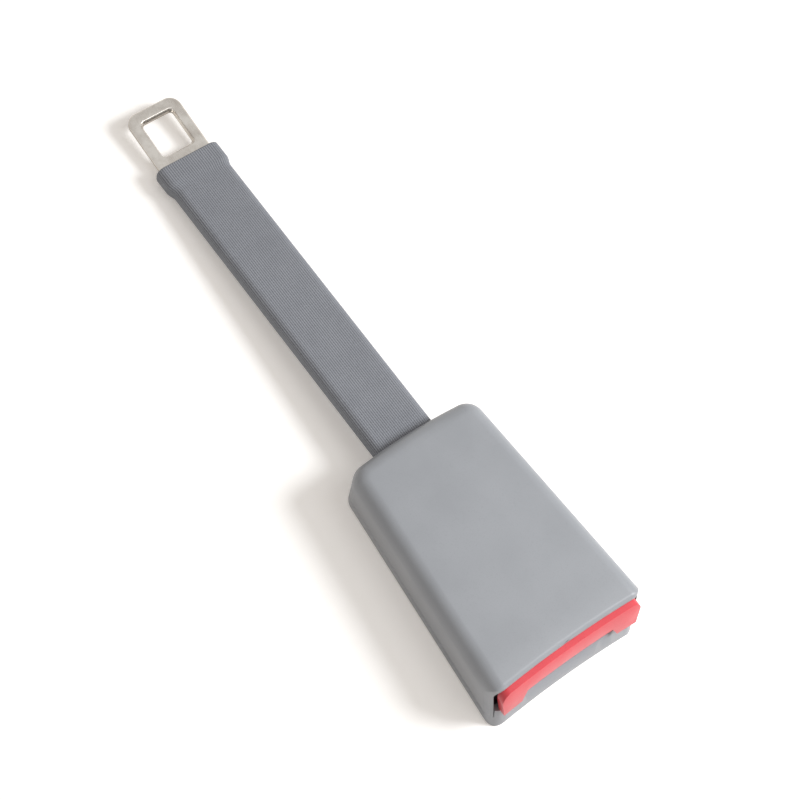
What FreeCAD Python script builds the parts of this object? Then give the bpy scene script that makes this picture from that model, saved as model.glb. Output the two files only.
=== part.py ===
import FreeCAD, Part
import Sketcher
import math
import os
import re

# Seat belt extender: a latch tongue on a steel strip in a woven sleeve, with a push-button buckle.
# Frame: +X from the tongue towards the buckle's mouth, +Z up, Y = 0 the plane of symmetry.
# The origin lies on the buckle's flat underside, below the middle of its cover.

V = FreeCAD.Vector

# Driving sizes, in millimetres and degrees
SIZES = {
    # Cover, the two grey mouldings together
    "cover_length": 87.6,
    "cover_rear_width": 53.0,
    "cover_front_width": 65.0,
    "cover_rear_height": 23.0,
    "cover_front_height": 25.0,
    "cover_wall": 1.8,
    "side_draft": 3.0,
    "parting_height": 6.0,
    "top_edge_radius": 5.5,
    "bottom_edge_radius": 1.6,
    "rear_corner_radius": 7.0,
    "rear_bow": 1.5,
    "front_bow": 1.2,
    "mouth_slant": 17.3,
    "lip_wall": 2.2,
    "lip_scoop": 0.8,
    "boss_radius": 2.4,
    "boss_front_place": 30.0,
    "boss_rear_place": 33.0,
    "boss_rear_spread": 18.5,
    "boss_wall_gap": 0.1,
    "screw_radius": 1.2,
    "screw_length": 12.0,
    "screw_head_radius": 2.2,
    "screw_head_height": 1.4,
    "rib_thickness": 2.4,
    "post_radius": 2.2,
    "post_front_place": 26.0,
    "post_rear_place": 20.0,
    "post_spread": 10.0,
    # Clearances
    "fit_gap": 0.05,
    "seat_gap": 0.1,
    "running_gap": 0.35,
    "play": 0.5,
    # Steel strip and its tongue
    "tongue_width": 21.6,
    "strip_thickness": 3.0,
    "tongue_reach": 24.3,
    "tongue_rise": 3.8,
    "tongue_corner_radius": 4.5,
    "tongue_edge_break": 0.8,
    "window_start": 5.3,
    "window_length": 14.2,
    "window_width": 12.5,
    "window_corner_radius": 1.2,
    "window_bevel": 1.7,
    "window_bevel_depth": 1.0,
    "strip_bend_radius": 18.0,
    # Woven sleeve and what it holds
    "sleeve_length": 133.0,
    "sleeve_width": 24.0,
    "sleeve_thickness": 7.5,
    "sleeve_wall": 0.7,
    "sleeve_corner_radius": 3.0,
    "hem_length": 7.0,
    "hem_run_in": 4.0,
    "hem_width": 26.0,
    "hem_thickness": 8.1,
    "hem_edge_break": 0.9,
    "core_wall": 0.3,
    "plug_length": 9.0,
    "plug_inset": 0.6,
    "bush_length": 5.0,
    "bush_flange": 1.6,
    "bush_lip": 0.8,
    # Steel frame
    "deck_height": 10.5,
    "frame_steel": 2.5,
    "frame_inner_half": 16.0,
    "frame_wall_height": 21.0,
    "frame_rear_gap": 15.0,
    "frame_wall_front": 38.5,
    "frame_nose_gap": 0.8,
    "frame_nose_half": 13.5,
    "frame_tail_length": 7.4,
    "frame_tail_half": 11.0,
    "frame_bend_radius": 2.0,
    "rivet_radius": 2.4,
    "rivet_head_radius": 3.8,
    "rivet_head_height": 1.3,
    "rivet_spread": 5.5,
    "rivet_gap": 11.4,
    "washer_thickness": 0.8,
    # Latch plate, drawn level as when it holds a tongue
    "latch_thickness": 2.5,
    "latch_over_tongue": 0.6,
    "latch_front": 38.4,
    "latch_nose_length": 3.6,
    "latch_nose_width": 10.0,
    "latch_nose_bite": 0.6,
    "latch_side_gap": 0.4,
    "latch_arm_inner": 11.0,
    "latch_cross_rear": 24.0,
    "latch_tab_length": 2.0,
    "latch_tab_drop": 0.6,
    "latch_tab_width": 4.0,
    "latch_knuckle_radius": 3.0,
    "latch_recess_depth": 1.1,
    "pivot_place": 2.0,
    "pivot_radius": 1.5,
    "pivot_head_radius": 2.4,
    "pivot_head_height": 0.5,
    "latch_lift": 7.5,
    # Lock pin
    "pin_radius": 1.5,
    "pin_place": 15.0,
    "pin_seat_gap": 0.15,
    "pin_overhang": 1.2,
    "clip_thickness": 0.8,
    "clip_radius": 2.1,
    # Ejector and its spring
    "ejector_front": 43.0,
    "ejector_travel": 14.0,
    "ejector_rear": 20.0,
    "ejector_half": 10.4,
    "ejector_fork_half": 5.9,
    "ejector_fork_rear": 25.0,
    "ejector_low_top": 13.2,
    "ejector_high_top": 16.1,
    "ejector_spring_radius": 1.9,
    "ejector_spring_wire": 0.8,
    "block_rear": 12.0,
    "block_length": 6.0,
    "block_top": 17.0,
    "peg_radius": 1.1,
    "peg_length": 2.5,
    # Side rails beside the tongue's path
    "rail_rear": 8.0,
    "rail_height": 2.8,
    # Release button
    "button_travel": 5.0,
    "button_proud": 1.65,
    "button_wall": 3.0,
    "button_taper": 0.8,
    "slot_height": 4.8,
    "slot_half": 18.2,
    "slot_half_top": 20.4,
    "foot_gap": 0.3,
    "arm_inner": 19.5,
    "arm_thickness": 3.0,
    "arm_rear": 5.0,
    "arm_bottom": 14.8,
    "arm_top": 21.8,
    "button_spring_radius": 1.6,
    "button_spring_wire": 0.6,
    "button_spring_height": 18.0,
}

doc = FreeCAD.newDocument("seat_belt_extender")
sheet = doc.addObject("Spreadsheet::Sheet", "dims")
for row, (alias, size) in enumerate(SIZES.items(), start=1):
    sheet.set(f"A{row}", alias)
    sheet.set(f"B{row}", str(size))
    sheet.setAlias(f"B{row}", alias)
doc.recompute()

# Longest names first, so that no alias is taken for the start of another
ALIASES = re.compile(r"\b(" + "|".join(sorted(SIZES, key=len, reverse=True)) + r")\b")


def bound(text):
    """An expression on the sheet's names, as a property of another object needs it."""
    return ALIASES.sub(r"dims.\1", text)


def num(text):
    """The present value of such an expression."""
    value = sheet.evalExpression(text)
    return float(getattr(value, "Value", value))


# Places and sizes that follow from the driving ones, as expressions
SIDE_TAPER = "((cover_front_width - cover_rear_width) / (2 * cover_length))"
TOP_TAPER = "((cover_front_height - cover_rear_height) / cover_length)"
TOP_SLOPE = f"(atan({TOP_TAPER}))"
REAR_RADIUS = "((cover_rear_width * cover_rear_width / 4 + rear_bow * rear_bow) / (2 * rear_bow))"
STRIP_Z = "(deck_height + strip_thickness / 2)"
FRAME_OUTER = "(frame_inner_half + frame_steel)"
FRAME_REAR = "(cover_length / 2 - frame_rear_gap)"
RIVET_X = "(cover_length / 2 - rivet_gap)"
MOUTH = "(cover_length / 2 * cos(mouth_slant) + cover_front_height * sin(mouth_slant))"
OVERRUN = "(cover_length / 2 + cover_front_height * tan(mouth_slant) + 6)"
SLEEVE_X = "(-cover_length / 2 + cover_wall - seat_gap)"
DROOP = f"(asin(({STRIP_Z} - hem_thickness / 2) / sleeve_length))"
RISE = "(tongue_rise * 1 deg)"
OPENING_HALF = "(sleeve_width / 2 + running_gap)"
OPENING_RISE = "(sleeve_thickness / 2 + running_gap)"
LATCH_Z = "(deck_height + strip_thickness + latch_over_tongue + latch_thickness / 2)"
LATCH_HALF = "(frame_inner_half - latch_side_gap)"
PIN_LOW = f"({LATCH_Z} + latch_thickness / 2 + pin_radius + pin_seat_gap)"
PIN_HIGH = (f"({LATCH_Z} + (pin_place - pivot_place) * tan(latch_lift)"
            " + (latch_thickness / 2 + pin_radius + pin_seat_gap) / cos(latch_lift))")
EJECTOR_AXIS = "(deck_height + ejector_spring_radius + ejector_spring_wire / 2 + seat_gap)"
ARM_MIDDLE = "(arm_inner + arm_thickness / 2)"


def cover_half(x):
    """Half the cover's width at x, along its top."""
    return f"(cover_rear_width / 2 + {SIDE_TAPER} * (({x}) + cover_length / 2))"


def cover_top(x):
    """Height of the cover's top at x."""
    return f"(cover_rear_height + {TOP_TAPER} * (({x}) + cover_length / 2))"


def cover_side(x, z):
    """Half the cover's width at x and height z, with the draft of its sides."""
    return f"({cover_half(x)} - ({cover_top(x)} - ({z})) * tan(side_draft))"


def cover_rear(z):
    """Where the cover's rear face stands at height z, on the plane of symmetry."""
    return (f"(-cover_length / 2 + (cover_rear_height - ({z}))"
            f" * tan(side_draft * 1 deg + {TOP_SLOPE}))")


def mouth_at(z):
    """Where the slanted mouth plane stands at height z, on the plane of symmetry."""
    return f"(cover_length / 2 + (cover_front_height - ({z})) * tan(mouth_slant))"


def new_body(name):
    body = doc.addObject("PartDesign::Body", name)
    body.Label = name
    return body


def sketch_on(body, role, shift="0", turn=None):
    """A sketch on one of the body's base planes, moved along the plane's normal.

    turn tilts it about its own vertical axis first."""
    sketch = body.newObject("Sketcher::SketchObject", body.Label + "_sketch")
    plane = next(item for item in body.Origin.OriginFeatures if item.Role == role)
    sketch.AttachmentSupport = [(plane, "")]
    sketch.MapMode = "FlatFace"
    if turn:
        sketch.AttachmentOffset = FreeCAD.Placement(V(), FreeCAD.Rotation(V(0, 1, 0), num(turn)))
    if shift != "0":
        sketch.setExpression("AttachmentOffset.Base.z", bound(shift))
    return sketch


def outline(sketch, corners):
    """A closed outline, counter-clockwise. A corner is x, y and, where an arc leads to the next
    corner, its radius: positive where the arc bulges outwards, negative where it bulges inwards."""
    points = [V(num(corner[0]), num(corner[1]), 0) for corner in corners]
    first = sketch.GeometryCount
    starts = []
    ends = []
    shapes = []
    for index, corner in enumerate(corners):
        start = points[index]
        end = points[(index + 1) % len(points)]
        if len(corner) == 2:
            shapes.append(Part.LineSegment(start, end))
            starts.append(1)
            ends.append(2)
            continue
        radius = num(corner[2])
        chord = end - start
        left = V(-chord.y, chord.x, 0).normalize()
        reach = math.sqrt(max(radius * radius - chord.Length ** 2 / 4, 0))
        middle = (start + end) * 0.5 + left * math.copysign(reach, radius)
        circle = Part.Circle(middle, V(0, 0, 1), abs(radius))
        at_start = math.atan2(start.y - middle.y, start.x - middle.x)
        at_end = math.atan2(end.y - middle.y, end.x - middle.x)
        if radius > 0:
            shapes.append(Part.ArcOfCircle(circle, at_start, at_end))
            starts.append(1)
            ends.append(2)
        else:
            shapes.append(Part.ArcOfCircle(circle, at_end, at_start))
            starts.append(2)
            ends.append(1)
    sketch.addGeometry(shapes, False)
    rules = []
    names = []
    for index, corner in enumerate(corners):
        geo = first + index
        after = first + (index + 1) % len(corners)
        rules.append(Sketcher.Constraint("Coincident", geo, ends[index], after,
                                         starts[(index + 1) % len(corners)]))
        names.append(None)
        for letter, kind, value in (("x", "DistanceX", corner[0]), ("y", "DistanceY", corner[1])):
            rules.append(Sketcher.Constraint(kind, -1, 1, geo, starts[index], num(value)))
            names.append((f"p{geo}{letter}", value))
        if len(corner) == 3:
            size = corner[2]
            if num(size) < 0:
                size = f"-({size})"
            rules.append(Sketcher.Constraint("Radius", geo, num(size)))
            names.append((f"r{geo}", size))
    name_rules(sketch, rules, names)


def circle(sketch, x, y, radius):
    """A circle whose centre and radius are expressions."""
    geo = sketch.addGeometry(Part.Circle(V(num(x), num(y), 0), V(0, 0, 1), num(radius)), False)
    rules = [Sketcher.Constraint("DistanceX", -1, 1, geo, 3, num(x)),
             Sketcher.Constraint("DistanceY", -1, 1, geo, 3, num(y)),
             Sketcher.Constraint("Radius", geo, num(radius))]
    name_rules(sketch, rules, [(f"p{geo}x", x), (f"p{geo}y", y), (f"r{geo}", radius)])


def name_rules(sketch, rules, names):
    """Add constraints and tie each named one to its expression."""
    before = sketch.ConstraintCount
    sketch.addConstraint(rules)
    for index, entry in enumerate(names):
        if entry:
            name, value = entry
            sketch.renameConstraint(before + index, name)
            sketch.setExpression(f"Constraints.{name}", bound(value))


def box(sketch, low_x, high_x, low_y, high_y):
    outline(sketch, [(low_x, low_y), (high_x, low_y), (high_x, high_y), (low_x, high_y)])


def round_box(sketch, half_wide, half_high, radius):
    """A rectangle about the sketch's origin with rounded corners."""
    near_x = f"({half_wide} - {radius})"
    near_y = f"({half_high} - {radius})"
    outline(sketch, [
        (f"-{near_x}", f"-({half_high})"), (near_x, f"-({half_high})", radius),
        (half_wide, f"-{near_y}"), (half_wide, near_y, radius),
        (near_x, half_high), (f"-{near_x}", half_high, radius),
        (f"-({half_wide})", near_y), (f"-({half_wide})", f"-{near_y}", radius)])


def mirrored_box(sketch, low_x, high_x, near_y, far_y):
    """The same rectangle on both sides of the plane of symmetry."""
    box(sketch, low_x, high_x, near_y, far_y)
    box(sketch, low_x, high_x, f"-({far_y})", f"-({near_y})")


def pad(sketch, length, symmetric=False, reverse=False):
    body = sketch.getParentGeoFeatureGroup()
    feature = body.newObject("PartDesign::Pad", body.Label + "_pad")
    feature.Profile = sketch
    feature.SideType = "Symmetric" if symmetric else "One side"
    feature.Reversed = reverse
    feature.setExpression("Length", bound(length))
    doc.recompute()
    return feature


def pocket(sketch, length=None, symmetric=False, reverse=False):
    """Cut the sketch out of its body: to a depth, or right through where no depth is given."""
    body = sketch.getParentGeoFeatureGroup()
    before = body.Shape.Volume
    feature = body.newObject("PartDesign::Pocket", body.Label + "_cut")
    feature.Profile = sketch
    feature.SideType = "Symmetric" if symmetric else "One side"
    feature.Reversed = reverse
    if length is None:
        feature.Type = "ThroughAll"
    else:
        feature.setExpression("Length", bound(length))
    doc.recompute()
    if not body.Shape.Volume < before - 1e-6:
        raise ValueError(f"{feature.Label} cuts nothing from {body.Label}")
    return feature


def loft(body, first, last):
    feature = body.newObject("PartDesign::AdditiveLoft", body.Label + "_loft")
    feature.Profile = first
    feature.Sections = [last]
    feature.Ruled = True
    doc.recompute()
    return feature


def edge_names(body, test):
    """The names of the edges of the body's last feature whose middle passes the test."""
    names = []
    for index, edge in enumerate(body.Tip.Shape.Edges, start=1):
        middle = edge.valueAt((edge.FirstParameter + edge.LastParameter) / 2)
        if test(edge, middle):
            names.append(f"Edge{index}")
    if not names:
        raise ValueError(f"no edges to round on {body.Label}")
    return names


def along(edge, axis):
    """Whether a straight edge runs nearly along an axis."""
    start = edge.Vertexes[0].Point
    end = edge.Vertexes[-1].Point
    way = end - start
    return way.Length > 1e-6 and abs(way.normalize().dot(axis)) > 0.97


def fillet(body, radius, test):
    base = (body.Tip, edge_names(body, test))
    feature = body.newObject("PartDesign::Fillet", body.Label + "_fillet")
    feature.Base = base
    feature.setExpression("Radius", bound(radius))
    doc.recompute()
    return feature


def chamfer(body, size, test):
    base = (body.Tip, edge_names(body, test))
    feature = body.newObject("PartDesign::Chamfer", body.Label + "_chamfer")
    feature.Base = base
    feature.setExpression("Size", bound(size))
    doc.recompute()
    return feature


def draft(body, way, front):
    """Lean the sides of a pad inwards, away from its face that looks along way.

    A face at the front or beyond it stays upright."""
    base = body.Tip
    sides = []
    for index, face in enumerate(base.Shape.Faces, start=1):
        first_u, last_u, first_v, last_v = face.ParameterRange
        lean = face.normalAt((first_u + last_u) / 2, (first_v + last_v) / 2).dot(way)
        if lean > 0.99:
            level = f"Face{index}"
        elif abs(lean) < 0.01 and face.CenterOfMass.x < front:
            sides.append(f"Face{index}")
    feature = body.newObject("PartDesign::Draft", body.Label + "_draft")
    feature.Base = (base, sides)
    feature.NeutralPlane = (base, [level])
    feature.Reversed = True
    feature.setExpression("Angle", bound("side_draft"))
    doc.recompute()
    return feature


def hollow(body, core):
    """Cut a core, a body of its own, out of the body."""
    feature = body.newObject("PartDesign::Boolean", body.Label + "_hollow")
    feature.Type = "Cut"
    feature.setObjects([core])
    doc.recompute()
    return feature


def plain(name, shape):
    """A sub-part whose shape is worked out directly."""
    feature = doc.addObject("Part::Feature", name)
    feature.Label = name
    feature.Shape = shape
    return feature


# Shapes that both covers share

def mouth_bow():
    """Radius of the mouth's bowed edge, and how far it comes forward at the side reach."""
    radius = "((cover_front_width * cover_front_width / 4 + front_bow * front_bow) / (2 * front_bow))"
    reach = "(cover_front_width / 2 + 6)"
    rise = f"({radius} - sqrt({radius} * {radius} - {reach} * {reach}))"
    return radius, reach, rise


def trim_mouth(body, forward):
    """The slanted, bowed mouth face, cut through a body at a distance ahead of the mouth."""
    radius, reach, rise = mouth_bow()
    edge = f"({MOUTH} + {forward} + {rise})"
    far = f"({MOUTH} + 30)"
    sketch = sketch_on(body, "XY_Plane", turn="-mouth_slant")
    outline(sketch, [(edge, f"-{reach}"), (far, f"-{reach}"), (far, reach),
                     (edge, reach, radius)])
    pocket(sketch, symmetric=True)


def cover_plan(sketch, rear, half, taper, corner, bow, inset="0"):
    """The covers' outline seen from above: straight sides, a bowed rear and round rear corners.

    rear and half place the rear's middle and its width, taper is the sides' slope, corner and bow
    are radii. The inset keeps the arcs' centres."""
    spread = f"sqrt(1 + {taper} * {taper})"
    level = f"({half} - {corner} * {spread})"
    lean = f"({bow} - {level} * {taper})"
    rest = f"(({bow} - {corner}) * ({bow} - {corner}) - {bow} * {bow} - {level} * {level})"
    reach = f"(({lean} - sqrt({lean} * {lean} + {spread} * {spread} * {rest})) / ({spread} * {spread}))"
    centre_x = f"({rear} + {reach})"
    centre_y = f"({level} + {taper} * {reach})"
    small = f"({corner} - {inset})"
    large = f"({bow} - {inset})"
    share = f"({large} / ({bow} - {corner}))"
    side = (f"({centre_x} - {small} * {taper} / {spread})", f"({centre_y} + {small} / {spread})")
    back = (f"({rear} + {bow} - ({bow} - {reach}) * {share})", f"({centre_y} * {share})")
    front = f"({half} + {taper} * ({OVERRUN} - {rear}) - {inset} * {spread})"
    outline(sketch, [
        (OVERRUN, f"-{front}"), (OVERRUN, front), (*side, small), (*back, large),
        (back[0], f"-{back[1]}", small), (side[0], f"-{side[1]}")])


def upper_blank(name, inset="0"):
    """The upper cover's outside, drawn down from its sloping top, or the core an inset inside it."""
    body = new_body(name)
    middle = f"((cover_rear_height + cover_front_height) / 2 - {inset})"
    sketch = sketch_on(body, "XY_Plane", shift=middle, turn=f"-{TOP_SLOPE}")
    cover_plan(sketch, f"(-cover_length / 2 / cos({TOP_SLOPE}))", "(cover_rear_width / 2)",
               SIDE_TAPER, "rear_corner_radius", REAR_RADIUS, inset)
    pad(sketch, "cover_front_height", reverse=True)
    slope = math.radians(num(TOP_SLOPE))
    front = num(OVERRUN) - 0.5
    draft(body, V(-math.sin(slope), 0, math.cos(slope)), front)
    level = num(middle)
    fillet(body, f"top_edge_radius - {inset}",
           lambda edge, at: abs(at.z - level - at.x * math.tan(slope)) < 0.01 and at.x < front)
    return body


def lower_plan(sketch, inset="0"):
    """The outline that both covers have where they meet."""
    drop = "((cover_rear_height - parting_height) * tan(side_draft))"
    rear = cover_rear("parting_height")
    cover_plan(sketch, rear, cover_side(rear, "parting_height"),
               f"({SIDE_TAPER} - {TOP_TAPER} * tan(side_draft))", f"(rear_corner_radius - {drop})",
               f"({REAR_RADIUS} - {drop})", inset)


def screw_places():
    """Centres of the four cover screws."""
    front = f"({cover_side('boss_front_place', 'parting_height')} - cover_wall - boss_radius + 0.3)"
    places = []
    for sign in ("", "-"):
        places.append(("boss_front_place", f"({sign}{front})"))
        places.append(("(-boss_rear_place)", f"({sign}boss_rear_spread)"))
    return places


def upper_cover():
    body = upper_blank("upper_cover")
    hollow(body, upper_blank("upper_cover_core", "cover_wall"))
    sketch = sketch_on(body, "XZ_Plane")
    box(sketch, "(-cover_length)", "cover_length", "(-cover_front_height)", "parting_height")
    pocket(sketch, symmetric=True)
    # Bosses for the screws, stop ribs behind the button springs, ribs over the frame's walls
    ceiling = f"({cover_top('(-boss_rear_place)')} - cover_wall / 2 - parting_height)"
    sketch = sketch_on(body, "XY_Plane", shift="parting_height")
    for x, y in screw_places():
        circle(sketch, x, y, "boss_radius")
    pad(sketch, ceiling)
    sketch = sketch_on(body, "XY_Plane", shift="arm_bottom")
    stop = "(-block_rear)"
    mirrored_box(sketch, f"({stop} - rib_thickness)", stop, f"({FRAME_OUTER} + seat_gap)",
                 f"({cover_half(stop)} - top_edge_radius + 1)")
    pad(sketch, f"{cover_top(stop)} - cover_wall / 2 - arm_bottom")
    for place in ("(-post_rear_place)", "(post_front_place + post_radius)"):
        sketch = sketch_on(body, "XY_Plane", shift="frame_wall_height")
        mirrored_box(sketch, place, f"({place} + rib_thickness)", "(frame_inner_half + seat_gap)",
                     FRAME_OUTER)
        pad(sketch, f"{cover_top(place)} - cover_wall / 2 - frame_wall_height")
    sketch = sketch_on(body, "XY_Plane", shift="parting_height - 1")
    for x, y in screw_places():
        circle(sketch, x, y, "screw_radius + fit_gap")
    pocket(sketch, "screw_length", reverse=True)
    # Rear opening for the sleeve
    sketch = sketch_on(body, "YZ_Plane", shift="-cover_length / 2 + cover_wall + 1.5")
    top_z = f"({STRIP_Z} + {OPENING_RISE})"
    turn = f"({top_z} - sleeve_corner_radius)"
    inner = f"({OPENING_HALF} - sleeve_corner_radius)"
    outline(sketch, [(f"-{OPENING_HALF}", "parting_height - 1"), (OPENING_HALF, "parting_height - 1"),
                     (OPENING_HALF, turn, "sleeve_corner_radius"), (inner, top_z),
                     (f"-{inner}", top_z, "sleeve_corner_radius"), (f"-{OPENING_HALF}", turn)])
    pocket(sketch, "cover_wall + 4")
    trim_mouth(body, "0")
    return body


def lower_cover():
    body = new_body("lower_cover")
    sketch = sketch_on(body, "XY_Plane", shift="parting_height")
    lower_plan(sketch)
    pad(sketch, "parting_height", reverse=True)
    front = num(OVERRUN) - 0.5
    draft(body, V(0, 0, 1), front)
    fillet(body, "bottom_edge_radius", lambda edge, at: at.z < 0.01 and at.x < front)
    sketch = sketch_on(body, "XY_Plane", shift="parting_height")
    lower_plan(sketch, "cover_wall")
    pocket(sketch, "parting_height - cover_wall")
    # Front wall, whose top is the mouth's lower lip
    def wall_profile(low, high):
        sketch = sketch_on(body, "XZ_Plane")
        outline(sketch, [(f"{mouth_at(low)} - lip_wall", low), (f"{mouth_at(low)} + 4", low),
                         (f"{mouth_at(high)} + 4", high), (f"{mouth_at(high)} - lip_wall", high)])
        return sketch
    mouth_x = mouth_at("parting_height")
    pad(wall_profile("cover_wall / 2", "parting_height"),
        f"2 * ({cover_side(mouth_x, '0')} - cover_wall / 2)", symmetric=True)
    pad(wall_profile("parting_height", "deck_height"),
        f"2 * ({cover_side(mouth_x, 'parting_height')} - cover_wall - seat_gap)", symmetric=True)
    # Posts under the frame and bosses round the screws
    sketch = sketch_on(body, "XY_Plane", shift="cover_wall / 2")
    for x in ("post_front_place", "(-post_rear_place)"):
        for sign in ("", "-"):
            circle(sketch, x, f"({sign}post_spread)", "post_radius")
    pad(sketch, "deck_height - frame_steel - cover_wall / 2")
    sketch = sketch_on(body, "XY_Plane", shift="cover_wall / 2")
    for x, y in screw_places():
        circle(sketch, x, y, "boss_radius")
    pad(sketch, "parting_height - cover_wall / 2 - boss_wall_gap")
    # Upstand that closes the rear opening below the sleeve
    sketch = sketch_on(body, "XY_Plane", shift="parting_height - cover_wall / 2")
    rear = cover_rear("parting_height")
    box(sketch, f"({rear} + rear_bow / 3)", f"({rear} + cover_wall)",
        f"-({OPENING_HALF} - seat_gap)", f"({OPENING_HALF} - seat_gap)")
    pad(sketch, f"{STRIP_Z} - {OPENING_RISE} - parting_height + cover_wall / 2")
    sketch = sketch_on(body, "XY_Plane", shift="0")
    for x, y in screw_places():
        circle(sketch, x, y, "screw_radius + fit_gap")
    pocket(sketch, reverse=True)
    sketch = sketch_on(body, "XY_Plane", shift="0")
    for x, y in screw_places():
        circle(sketch, x, y, "screw_head_radius + seat_gap")
    pocket(sketch, "screw_head_height + 0.2", reverse=True)
    # Shallow scoop in the lip that leads a tongue in
    half = "slot_half"
    radius = f"(({half} * {half} + lip_scoop * lip_scoop) / (2 * lip_scoop))"
    sketch = sketch_on(body, "YZ_Plane", shift=f"{mouth_at('deck_height')} - lip_wall / 2")
    outline(sketch, [(f"-{half}", "deck_height", radius), (half, "deck_height"),
                     (half, "deck_height + 1"), (f"-{half}", "deck_height + 1")])
    pocket(sketch, "lip_wall + 4", reverse=True)
    trim_mouth(body, "0")
    return body


def cover_screws():
    """Four self-tapping screws, heads in recesses of the underside."""
    inset = 0.2
    pieces = []
    for x, y in screw_places():
        seat = V(num(x), num(y), inset)
        top = V(num(x), num(y), inset + num("screw_head_height"))
        head = Part.makeCylinder(num("screw_head_radius"), num("screw_head_height"), seat)
        shank = Part.makeCylinder(num("screw_radius"), num("screw_length - screw_head_height - 1.5"),
                                  top)
        pieces.append(head.fuse(shank).removeSplitter())
    return plain("cover_screws", Part.makeCompound(pieces))


# Release button

def release_button():
    body = new_body("release_button")
    inside = "(cover_length / 2 - button_travel - button_wall)"
    half = f"({cover_half(inside)} - cover_wall - running_gap)"
    rim = f"({cover_top(inside)} - cover_wall - running_gap)"
    foot = "(deck_height + foot_gap)"
    slot_top = "(deck_height + slot_height)"
    foot_half = f"({half} - ({rim} - {foot}) * tan(side_draft) - button_taper)"
    # Face: two feet with the tongue's slot between them
    sketch = sketch_on(body, "YZ_Plane", shift="cover_length / 2 - 12")
    outline(sketch, [(f"-{foot_half}", foot), ("-slot_half_top", foot), ("-slot_half", slot_top),
                     ("slot_half", slot_top), ("slot_half_top", foot), (foot_half, foot),
                     (half, rim), (f"-{half}", rim)])
    pad(sketch, f"{OVERRUN} - cover_length / 2 + 14")
    level = num("cover_rear_height - 5")
    fillet(body, "top_edge_radius - cover_wall",
           lambda edge, at: along(edge, V(1, 0, 0)) and at.z > level)
    # Slanted face, a wall ahead of the slanted back
    radius, reach, rise = mouth_bow()
    edge = f"({MOUTH} + button_proud - button_wall + {rise})"
    far = "(cover_length / 2 - 40)"
    sketch = sketch_on(body, "XY_Plane", turn="-mouth_slant")
    outline(sketch, [(far, f"-{reach}"), (edge, f"-{reach}", f"-{radius}"), (edge, reach),
                     (far, reach)])
    pocket(sketch, symmetric=True)
    trim_mouth(body, "button_proud")
    # Side arms, each with a fork that carries the lock pin and a peg for its spring
    back = f"({mouth_at('arm_bottom')} + button_proud - button_wall / 2)"
    top_back = f"({mouth_at('arm_top')} + button_proud - button_wall / 2)"
    fork = "(pin_radius + fit_gap)"
    fork_floor = f"({PIN_LOW} - pin_radius - 0.2)"
    for side, away in (("-arm_inner", True), ("arm_inner", False)):
        sketch = sketch_on(body, "XZ_Plane", shift=side)
        outline(sketch, [
            ("arm_rear", "arm_bottom"), (back, "arm_bottom"), (top_back, "arm_top"),
            (f"pin_place + {fork}", "arm_top"), (f"pin_place + {fork}", fork_floor),
            (f"pin_place - {fork}", fork_floor), (f"pin_place - {fork}", "arm_top"),
            ("arm_rear", "arm_top")])
        pad(sketch, "arm_thickness", reverse=away)
    sketch = sketch_on(body, "YZ_Plane", shift="arm_rear + 0.5")
    for sign in ("", "-"):
        circle(sketch, f"({sign}{ARM_MIDDLE})", "button_spring_height", "peg_radius")
    pad(sketch, "peg_length + 0.5", reverse=True)
    return body


# Steel frame and what it carries

def buckle_frame():
    body = new_body("buckle_frame")
    rear = f"(-{FRAME_REAR})"
    floor = "(deck_height - frame_steel)"
    sketch = sketch_on(body, "YZ_Plane", shift=rear)
    outline(sketch, [
        (f"-{FRAME_OUTER}", floor), (FRAME_OUTER, floor), (FRAME_OUTER, "frame_wall_height"),
        ("frame_inner_half", "frame_wall_height"), ("frame_inner_half", "deck_height"),
        ("-frame_inner_half", "deck_height"), ("-frame_inner_half", "frame_wall_height"),
        (f"-{FRAME_OUTER}", "frame_wall_height")])
    pad(sketch, f"{FRAME_REAR} + frame_wall_front")
    fillet(body, "frame_bend_radius",
           lambda edge, at: along(edge, V(1, 0, 0)) and at.z < num(floor) + 0.01)
    # Nose of the deck under the mouth, tail under the strip
    nose = f"({mouth_at('deck_height')} - lip_wall - frame_nose_gap)"
    sketch = sketch_on(body, "XY_Plane", shift=floor)
    outline(sketch, [("frame_wall_front - 1", "-frame_nose_half"),
                     (nose, "-frame_nose_half + 3"),
                     (nose, "frame_nose_half - 3"),
                     ("frame_wall_front - 1", "frame_nose_half")])
    box(sketch, f"({rear} - frame_tail_length)", f"({rear} + 1)",
        "-frame_tail_half", "frame_tail_half")
    pad(sketch, "frame_steel")
    # Window for the latch's nose, pivot holes, notches for the lock pin, sloped rear shoulders
    sketch = sketch_on(body, "XY_Plane", shift="deck_height + 1")
    box(sketch, "(latch_front - latch_nose_length - 1)", "(latch_front + 1.2)",
        "-(latch_nose_width / 2 + 1)", "(latch_nose_width / 2 + 1)")
    for sign in ("", "-"):
        circle(sketch, f"(-{RIVET_X})", f"({sign}rivet_spread)", "rivet_radius + fit_gap")
    pocket(sketch, "frame_steel + 2")
    sketch = sketch_on(body, "XZ_Plane")
    circle(sketch, "pivot_place", LATCH_Z, "pivot_radius")
    notch = "(pin_radius + play)"
    notch_floor = f"({PIN_LOW} - {notch})"
    over = "(frame_wall_height + 1)"
    box(sketch, f"(pin_place - button_travel - {notch})", f"(pin_place + {notch})", notch_floor, over)
    outline(sketch, [(f"({rear} - 1)", "(deck_height + 3)"), (f"({rear} + 12)", over),
                     (f"({rear} - 1)", over)])
    outline(sketch, [("(frame_wall_front + 1)", "(deck_height + 4)"), ("(frame_wall_front + 1)", over),
                     ("(frame_wall_front - 4)", over)])
    pocket(sketch, symmetric=True)
    return body


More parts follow.
